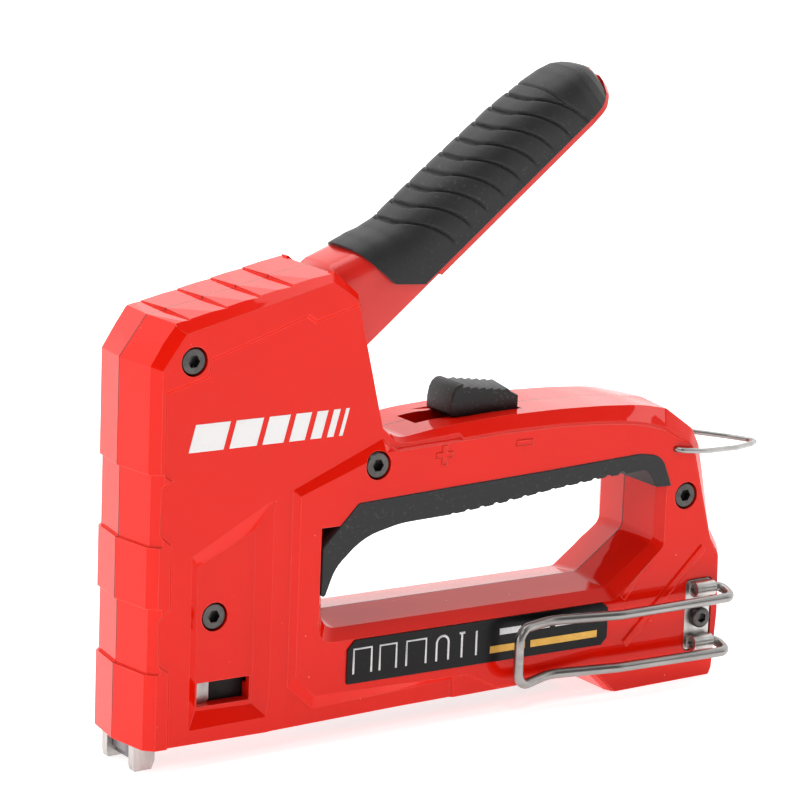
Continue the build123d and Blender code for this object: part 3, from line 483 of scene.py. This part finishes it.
def placePiece(name, bm, matrix, body, finish, sharp=35):
    bmesh.ops.transform(bm, matrix=matrix, verts=bm.verts)
    bmesh.ops.recalc_face_normals(bm, faces=bm.faces)
    mesh = bpy.data.meshes.new(name)
    bm.to_mesh(mesh)
    bm.free()
    mesh.materials.append(finishes[finish])
    mesh.polygons.foreach_set("use_smooth", [True] * len(mesh.polygons))
    mesh.set_sharp_from_angle(angle=math.radians(sharp))
    piece = bpy.data.objects.new(name, mesh)
    scene.collection.objects.link(piece)
    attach(piece, body)
    return piece


def outlineFace(bm, points, y=0.0):
    verts = [bm.verts.new((x, y, z)) for x, z in points]
    return bm.faces.new(verts)


def raiseFace(bm, face, offset):
    made = bmesh.ops.extrude_face_region(bm, geom=[face])
    verts = [item for item in made["geom"] if isinstance(item, bmesh.types.BMVert)]
    bmesh.ops.translate(bm, vec=offset, verts=verts)
    return verts


def bevelEdges(bm, edges, width, segments):
    bmesh.ops.bevel(bm, geom=edges, offset=width, segments=segments, profile=0.5, affect="EDGES",
                    clamp_overlap=True, material=-1)


def sharpEdges(bm, angle):
    limit = math.radians(angle)
    return [edge for edge in bm.edges if len(edge.link_faces) == 2 and edge.calc_face_angle(0) > limit]


# Moulded rubber over the lever: along the lever (x), across (y) and up from its line (z)
leverGrip = {
    "halfWidth": 11.2,
    "roundness": 3.3,
    "crownPoints": 112,
    "step": 0.25,
    "tops": [(24.0, 19.6), (28.6, 18.9), (31.6, 18.25), (36.0, 17.1), (41.0, 15.3), (46.0, 14.2),
             (64.0, 14.1), (90.0, 13.3), (102.5, 12.0), (108.0, 11.1), (112.0, 10.1), (114.4, 8.6),
             (116.0, 7.1), (117.0, 5.8), (117.4, 4.8)],
    "bottoms": [(24.0, -2.25), (111.0, -2.25), (114.5, -1.6), (116.4, -0.2), (117.4, 2.4)],
    "widths": [(24.0, 1.0), (104.0, 1.0), (108.0, 0.985), (111.0, 0.93), (113.5, 0.83), (115.5, 0.67),
               (116.8, 0.47), (117.4, 0.25)],
    "frontCuts": [((31.2, 18.6), (34.2, 3.9)), ((34.2, 3.9), (41.6, -2.9))],
    "grooveStarts": [45.5 + 6.31 * i for i in range(9)],
    "grooveSweep": 8.6,
    "grooveDrop": 14.0,
    "grooveWidth": 1.0,
    "grooveDepth": 1.05,
    "flatHalf": 4.6,      # the grooves run straight across this far from the middle
    "sideWeight": 0.6,
    "bend": 1.75,
    "fadeFrom": 0.86,
    "tipCrease": 101.2,
    "tipSweep": 4.6,
    "creaseHalf": 0.5,
    "creaseDepth": 0.55,
    "swell": 0.14,
    "smoothFrom": 104,    # no swelling past here
}


def grooveDepthAt(look, s, y, drop):
    # Straight across the crown, then swept back and down each side until it fades out
    crown = max(0.0, abs(y) - look["flatHalf"])
    part = min(1.0, math.hypot(drop, look["sideWeight"] * crown) / look["grooveDrop"])
    sweep = look["grooveSweep"] * (1 - (1 - part) ** look["bend"])
    fade = 1.0 if part < look["fadeFrom"] else max(0.0, (1 - part) / (1 - look["fadeFrom"]))
    shrink = max(0.55, 1 - 0.3 * crown)
    width = look["grooveWidth"] * shrink
    depth = 0.0
    for start in look["grooveStarts"]:
        off = abs(s - sweep - start)
        if off < width:
            floor = min(1.0, 1.9 * (1 - off / width))
            depth = look["grooveDepth"] * (0.35 + 0.65 * shrink) * fade * floor
    tip = look["tipCrease"] + look["tipSweep"] * part ** 1.6
    off = abs(s - tip)
    if off < look["creaseHalf"] and part < 0.98:
        depth = max(depth, look["creaseDepth"] * (1 - off / look["creaseHalf"]))
    first = look["grooveStarts"][0] + sweep
    last = look["grooveStarts"][-1] + sweep
    if first < s < last and part < 0.95:
        pitch = look["grooveStarts"][1] - look["grooveStarts"][0]
        across = ((s - first) / pitch) % 1.0
        depth -= look["swell"] * fade * 4 * across * (1 - across) * (0.55 + 0.45 * across)
    return depth


def makeLeverGrip(look):
    bm = bmesh.new()
    count = look["crownPoints"]
    power = 2 / look["roundness"]
    shares = []
    for i in range(count + 1):
        turn = math.pi * i / count
        across = math.copysign(abs(math.cos(turn)) ** power, math.cos(turn))
        shares.append((across, math.sin(turn) ** power if 0 < i < count else 0.0))
    start = look["tops"][0][0]
    end = look["tops"][-1][0]
    steps = int((end - start) / look["step"])

    def seat(verts, s):
        top = curveAt(look["tops"], s)
        low = curveAt(look["bottoms"], s)
        half = look["halfWidth"] * curveAt(look["widths"], s)
        for vert, (across, up) in zip(verts, shares):
            vert.co = (s, half * across, low + (top - low) * up)

    ring = [bm.verts.new((start, 0, i)) for i in range(count + 1)]
    edges = [bm.edges.new((a, b)) for a, b in zip(ring, ring[1:] + ring[:1])]
    seat(ring, start)
    bm.faces.new(ring)
    rows = [ring]
    for i in range(1, steps + 1):
        made = bmesh.ops.extrude_edge_only(bm, edges=edges)["geom"]
        fresh = {v for v in made if isinstance(v, bmesh.types.BMVert)}
        following = []
        for vert in rows[-1]:
            beside = [edge.other_vert(vert) for edge in vert.link_edges]
            following.append(next(other for other in beside if other in fresh))
        seat(following, start + (end - start) * i / steps)
        edges = [item for item in made if isinstance(item, bmesh.types.BMEdge)
                 and item.verts[0] in fresh and item.verts[1] in fresh]
        rows.append(following)
    bm.faces.new(rows[-1])
    bmesh.ops.recalc_face_normals(bm, faces=bm.faces)
    bm.normal_update()
    moves = []
    for row in rows:
        s = row[0].co.x
        top = curveAt(look["tops"], s)
        for vert in row[1:-1]:
            drop = top - vert.co.z
            depth = grooveDepthAt(look, s, vert.co.y, drop)
            if s > look["smoothFrom"]:
                depth = max(depth, 0.0)
            moves.append((vert, vert.normal * -depth))
    for vert, move in moves:
        vert.co += move
    for (s1, t1), (s2, t2) in look["frontCuts"]:
        normal = Vector((t1 - t2, 0, s2 - s1)) * -1
        geometry = bm.verts[:] + bm.edges[:] + bm.faces[:]
        cut = bmesh.ops.bisect_plane(bm, geom=geometry, plane_co=(s1, 0, t1), plane_no=normal,
                                     clear_outer=True)
        rim = [item for item in cut["geom_cut"] if isinstance(item, bmesh.types.BMEdge)]
        bmesh.ops.holes_fill(bm, edges=rim, sides=0)
    return placePiece("leverGripRubber", bm, onLever, "lever", "softRubber", 50)


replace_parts(makeLeverGrip(leverGrip), "lever_grip")
print("lever grip made")


# Power button: side outline with its saw teeth, drawn out across and softened
powerKnob = {
    "outline": [(93.1, 83.5), (114.2, 83.5), (114.3, 87.6), (113.2, 89.2)],
    "teeth": 6,
    "toothRise": 0.55,
    "crest": ((112.2, 90.1), (97.2, 92.2)),
    "nose": [(96.4, 92.3), (95.0, 92.1), (93.8, 91.2), (93.0, 89.6), (92.5, 87.2), (92.5, 84.4)],
    "halfWidth": 6.0,
    "slant": 0.22,
    "crown": 0.01,
    "softness": 0.55,
}


def makePowerKnob(look):
    bm = bmesh.new()
    (x1, z1), (x2, z2) = look["crest"]
    points = list(look["outline"])
    for i in range(look["teeth"]):
        a = i / look["teeth"]
        b = (i + 0.82) / look["teeth"]
        points.append((x1 + (x2 - x1) * a, z1 + (z2 - z1) * a))
        points.append((x1 + (x2 - x1) * b, z1 + (z2 - z1) * b - look["toothRise"]))
    points += look["nose"]
    face = outlineFace(bm, points, -look["halfWidth"])
    raiseFace(bm, face, (0, 2 * look["halfWidth"], 0))
    bmesh.ops.recalc_face_normals(bm, faces=bm.faces)
    for vert in bm.verts:
        if vert.co.z > 88.5 and vert.co.x > 96.5:
            vert.co.x += look["slant"] * vert.co.y
            vert.co.z -= look["crown"] * vert.co.y ** 2
    rims = [edge for edge in bm.edges if abs(edge.verts[0].co.y - edge.verts[1].co.y) < 0.01]
    bevelEdges(bm, rims, look["softness"], 3)
    return placePiece("powerKnob", bm, toRow, "power_slide", "blackPlastic", 28)


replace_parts(makePowerKnob(powerKnob), "power_button")
print("power knob made")


# Soft liner of the finger opening, with its edges rounded
def roundedCopy(source, name, width, segments, angle, finish, body):
    bm = bmesh.new()
    bm.from_mesh(nodes[source].data)
    bmesh.ops.remove_doubles(bm, verts=bm.verts, dist=1e-6)
    bmesh.ops.dissolve_limit(bm, angle_limit=math.radians(1.0), verts=bm.verts, edges=bm.edges)
    piece = placePiece(name, bm, Matrix.Identity(4), body, finish, angle)
    soft = piece.modifiers.new("softEdges", "BEVEL")
    soft.width = width
    soft.segments = segments
    soft.limit_method = "ANGLE"
    soft.angle_limit = math.radians(angle)
    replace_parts(piece, source)
    return piece


roundedCopy("lever_frame", "leverShell", 0.0005, 2, 38, "leverPaint", "lever")
roundedCopy("grip_insert", "fingerLiner", 0.0007, 3, 32, "softRubber", "housing")
print("liner and lever shell made")


# Coil springs: each is a copy of its CAD spring that rides on its body; the joint, axis and travel listed for
# each are not used here
forward = Vector((math.cos(standAngle), 0, -math.sin(standAngle)))
upward = Vector((math.sin(standAngle), 0, math.cos(standAngle)))
coilSprings = {
    "mainCoil": {"node": "main_spring", "body": "housing", "joint": "striker_lift", "axis": upward,
                 "travel": 0.016628},
    "pusherCoil": {"node": "pusher_spring", "body": "magazine", "joint": "pusher_feed", "axis": forward,
                   "travel": 0.06},
}


def makeCoil(name, look):
    bm = bmesh.new()
    bm.from_mesh(nodes[look["node"]].data)
    bmesh.ops.remove_doubles(bm, verts=bm.verts, dist=1e-6)
    coil = placePiece(name, bm, Matrix.Identity(4), look["body"], "springSteel", 40)
    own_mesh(coil)
    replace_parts(coil, look["node"])


for name, look in coilSprings.items():
    makeCoil(name, look)
print("coil springs made")


# Printed label: staple shapes in silver, then plain bars where wording would be
labelPrint = {
    "face": -15.87,
    "line": 0.34,
    "squareStaples": [(58.0, 63.6), (66.2, 71.4), (74.6, 80.8)],
    "roundStaple": (84.2, 88.0),
    "low": 19.8,
    "high": 26.6,
    "nail": 92.3,
    "pin": 97.0,
    "barFace": -15.84,
    "goldBars": [(101.5, 113.0), (114.8, 137.0)],
    "goldRow": (19.6, 21.6),
    "silverBars": [(104.5, 111.5), (113.3, 121.0), (122.8, 134.0)],
    "silverRow": (24.4, 26.2),
}


def drawLine(name, points, thickness, closed=False):
    curve = bpy.data.curves.new(name, "CURVE")
    curve.dimensions = "3D"
    curve.bevel_depth = thickness
    curve.bevel_resolution = 2
    curve.use_fill_caps = True
    spline = curve.splines.new("POLY")
    spline.points.add(len(points) - 1)
    for point, (x, y, z) in zip(spline.points, points):
        point.co = (x, y, z, 1)
    spline.use_cyclic_u = closed
    carrier = bpy.data.objects.new(name, curve)
    mesh = bpy.data.meshes.new_from_object(carrier)
    bpy.data.objects.remove(carrier)
    return mesh


def mergeLines(name, lines, thickness, finish, flatten=1.0):
    bm = bmesh.new()
    for points in lines:
        bm.from_mesh(drawLine(name, points, thickness))
    y = lines[0][0][1]
    for vert in bm.verts:
        vert.co.y = y + (vert.co.y - y) * flatten
    return placePiece(name, bm, toRow, "housing", finish, 60)


def makeStapleSigns(look):
    y = look["face"]
    low = look["low"]
    high = look["high"]
    lines = []
    for left, right in look["squareStaples"]:
        lines.append([(left, y, low), (left, y, high), (right, y, high), (right, y, low)])
    left, right = look["roundStaple"]
    middle = (left + right) / 2
    half = (right - left) / 2
    bend = [(middle - half * math.cos(a), y, high - half + half * math.sin(a))
            for a in [math.pi * i / 10 for i in range(11)]]
    lines.append([(left, y, low)] + bend + [(right, y, low)])
    lines.append([(look["nail"], y, low), (look["nail"], y, high)])
    lines.append([(look["nail"] - 0.9, y, high), (look["nail"] + 0.9, y, high)])
    lines.append([(look["pin"], y, low), (look["pin"], y, high)])
    mergeLines("labelStapleSigns", lines, look["line"], "labelSilver", 0.45)


def makeBars(name, spans, low, high, face, finish, slant):
    bm = bmesh.new()
    for left, right in spans:
        lean = slant * (high - low)
        points = [(left, low), (right, low), (right + lean, high), (left + lean, high)]
        plate = outlineFace(bm, points, face)
        raiseFace(bm, plate, (0, -0.1, 0))
    return placePiece(name, bm, toRow, "housing", finish)


makeStapleSigns(labelPrint)
for metal in ("Gold", "Silver"):
    low, high = labelPrint[metal.lower() + "Row"]
    makeBars("label" + metal + "Bars", labelPrint[metal.lower() + "Bars"], low, high,
             labelPrint["barFace"], "label" + metal, 0.0)
print("label print made")


# Steel guide that shows at the front of the magazine window
guideTab = {"x": (13.0, 18.2), "y": (-8.9, -7.95), "z": (15.7, 22.4), "bend": 0.7,
            "corner": 1.2}


def makeGuideTab(look):
    bm = bmesh.new()
    (x1, x2), (y1, y2), (z1, z2) = look["x"], look["y"], look["z"]
    points = [(x1, z1), (x2 - look["bend"], z1), (x2, z1 + look["corner"]), (x2, z2), (x1, z2)]
    face = outlineFace(bm, points, y2)
    raiseFace(bm, face, (0, y1 - y2, 0))
    bevelEdges(bm, sharpEdges(bm, 40), 0.22, 2)
    return placePiece("guideTab", bm, toRow, "housing", "zincSteel")


makeGuideTab(guideTab)


# Screw that holds the hook's bracket: rounded head with a six-sided socket
hookScrew = {
    "middle": (172.2, 20.8),
    "headRadius": 2.9,
    "shankRadius": 1.5,
    "top": -17.25,
    "under": -15.3,
    "end": -9.6,
    "socketRadius": 1.45,
    "socketDepth": 1.1,
    "softness": 0.45,
}


def makeHookScrew(look):
    bm = bmesh.new()
    profile = [(0.0, look["end"]), (look["shankRadius"], look["end"]), (look["shankRadius"], look["under"]),
               (look["headRadius"], look["under"]), (look["headRadius"], look["top"]),
               (look["socketRadius"] + 0.35, look["top"])]
    verts = [bm.verts.new((radius, y, 0)) for radius, y in profile]
    edges = [bm.edges.new((a, b)) for a, b in zip(verts, verts[1:])]
    bmesh.ops.spin(bm, geom=verts + edges, cent=(0, 0, 0), axis=(0, 1, 0), angle=math.tau, steps=36,
                   use_merge=True, use_duplicate=False)
    bmesh.ops.remove_doubles(bm, verts=bm.verts, dist=1e-5)
    rim = [edge for edge in bm.edges if edge.is_boundary]
    lip = Matrix.Translation((0, look["top"], 0)) @ Matrix.Rotation(math.pi / 2, 4, "X")
    made = bmesh.ops.create_circle(bm, segments=6, radius=look["socketRadius"], matrix=lip)["verts"]
    hexagon = list({edge for vert in made for edge in vert.link_edges})
    bmesh.ops.bridge_loops(bm, edges=rim + hexagon)
    walls = bmesh.ops.extrude_edge_only(bm, edges=hexagon)["geom"]
    floor = [item for item in walls if isinstance(item, bmesh.types.BMVert)]
    bmesh.ops.translate(bm, vec=(0, look["socketDepth"], 0), verts=floor)
    bmesh.ops.contextual_create(bm, geom=[item for item in walls if isinstance(item, bmesh.types.BMEdge)
                                          and item.is_boundary])
    head = [edge for edge in bm.edges
            if all(abs(v.co.y - look["top"]) < 0.01 and math.hypot(v.co.x, v.co.z) > look["headRadius"] - 0.01
                   for v in edge.verts)]
    bevelEdges(bm, head, look["softness"], 3)
    x, z = look["middle"]
    bmesh.ops.translate(bm, vec=(x, 0, z), verts=bm.verts)
    return placePiece("hookScrew", bm, toRow, "housing", "blackSteel", 30)


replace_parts(makeHookScrew(hookScrew), "bracket_screw")
print("guide tab and hook screw made")


# White stripes on the head, thinning out towards the rear
headStripes = {
    "spans": [(7.4, 17.6), (19.3, 27.4), (29.1, 35.4), (37.1, 41.8), (43.5, 46.8), (48.5, 50.5),
              (52.2, 53.3)],
    "low": 84.4,
    "high": 91.6,
    "face": -13.98,
    "slant": 0.28,
}
makeBars("headStripes", headStripes["spans"], headStripes["low"], headStripes["high"],
         headStripes["face"], "whitePrint", headStripes["slant"])
print("head stripes made")


# Cast plus and minus beside the power button
castSigns = {
    "plus": (84.6, 76.2),
    "minus": (110.3, 77.0),
    "size": 2.7,
    "bar": 0.85,
    "face": -15.45,
    "rise": 0.32,
    "rim": 0.32,
    "sink": 0.8,
}


def makeCastSigns(look):
    bm = bmesh.new()
    size = look["size"]
    bar = look["bar"]
    px, pz = look["plus"]
    corners = [(-bar, -size), (bar, -size), (bar, -bar), (size, -bar), (size, bar), (bar, bar),
               (bar, size), (-bar, size), (-bar, bar), (-size, bar), (-size, -bar), (-bar, -bar)]
    mx, mz = look["minus"]
    plates = [[(px + x, pz + z) for x, z in corners],
              [(mx - size, mz - bar), (mx + size, mz - bar), (mx + size, mz + bar), (mx - size, mz + bar)]]
    for points in plates:
        face = outlineFace(bm, points, look["face"])
        raised = raiseFace(bm, face, (0, -look["rise"], 0))
        top = next(f for f in raised[0].link_faces if all(v in raised for v in f.verts))
        bmesh.ops.inset_region(bm, faces=[top], thickness=look["rim"], use_even_offset=True)
        bmesh.ops.translate(bm, vec=(0, look["rise"] * look["sink"], 0), verts=top.verts)
    return placePiece("castPowerSigns", bm, toRow, "housing", "redPaint", 30)


makeCastSigns(castSigns)
print("cast signs made")
